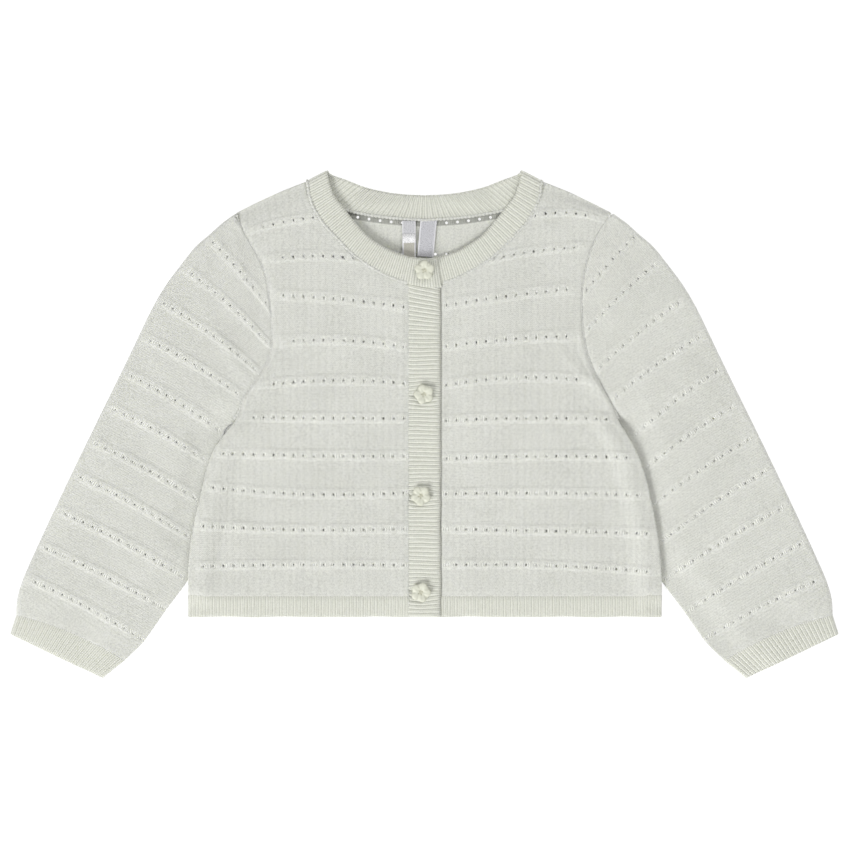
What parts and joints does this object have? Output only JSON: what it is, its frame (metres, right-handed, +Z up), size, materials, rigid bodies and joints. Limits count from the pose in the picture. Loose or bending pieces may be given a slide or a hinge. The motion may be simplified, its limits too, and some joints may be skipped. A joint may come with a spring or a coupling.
{
  "type": "baby cardigan",
  "caption": "Long-sleeved knitted baby cardigan laid flat, with rows of eyelets, ribbed edges and a buttoned front.",
  "frame": {"origin": "middle of the footprint, on the surface that the cardigan lies on", "axes": "+X to the wearer's left sleeve, +Y to the neck, +Z up from the surface"},
  "size_m": [0.4812, 0.2953, 0.0089],
  "materials": {
    "jersey": "matte fine-gauge cotton jersey, off-white",
    "rib": "matte cotton rib, warm off-white",
    "button": "satin cream polyester resin",
    "label": "satin-edged woven tape, no lettering"
  },
  "bodies": {
    "root": {"back_panel": "jersey", "back_hem_rib": "rib", "neckband": "rib", "right_front": "jersey", "right_front_hem_rib": "rib", "right_sleeve": "jersey", "right_cuff": "rib", "left_front": "jersey", "left_front_hem_rib": "rib", "left_sleeve": "jersey", "left_cuff": "rib", "button_band": "rib", "buttonhole_band": "rib", "button_1": "button", "button_2": "button", "button_3": "button", "button_4": "button", "neck_label": "label", "size_label": "label"}
  },
  "joints": []
}
